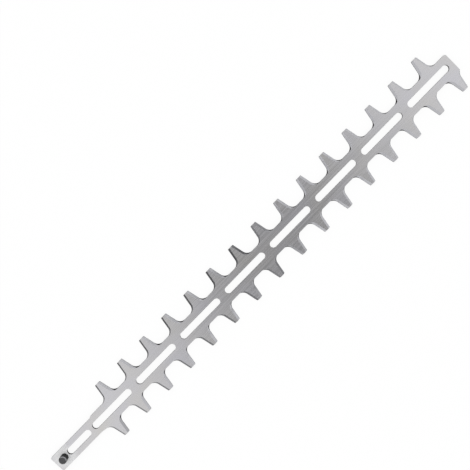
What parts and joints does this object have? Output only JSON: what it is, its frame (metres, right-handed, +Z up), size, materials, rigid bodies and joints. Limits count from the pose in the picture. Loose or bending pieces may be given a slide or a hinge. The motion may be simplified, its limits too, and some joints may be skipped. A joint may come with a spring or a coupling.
{
  "type": "hedge trimmer blade",
  "caption": "Flat double-sided reciprocating hedge trimmer blade with staggered teeth, ground flanks, guide slots along its middle and an upright drive pin at the tail.",
  "frame": {"origin": "on the drive pin's axis, in the plane of the flat face that slides on the other blade", "axes": "+X along the blade from the tail to the tip, +Z up along the drive pin, the long row of teeth on -Y"},
  "size_m": [0.5263, 0.0534, 0.0106],
  "materials": {
    "plate_steel": "surface ground",
    "pin_steel": "turned, dark oxide"
  },
  "bodies": {
    "root": {"blade_plate": "plate_steel", "drive_pin": "pin_steel"}
  },
  "joints": []
}
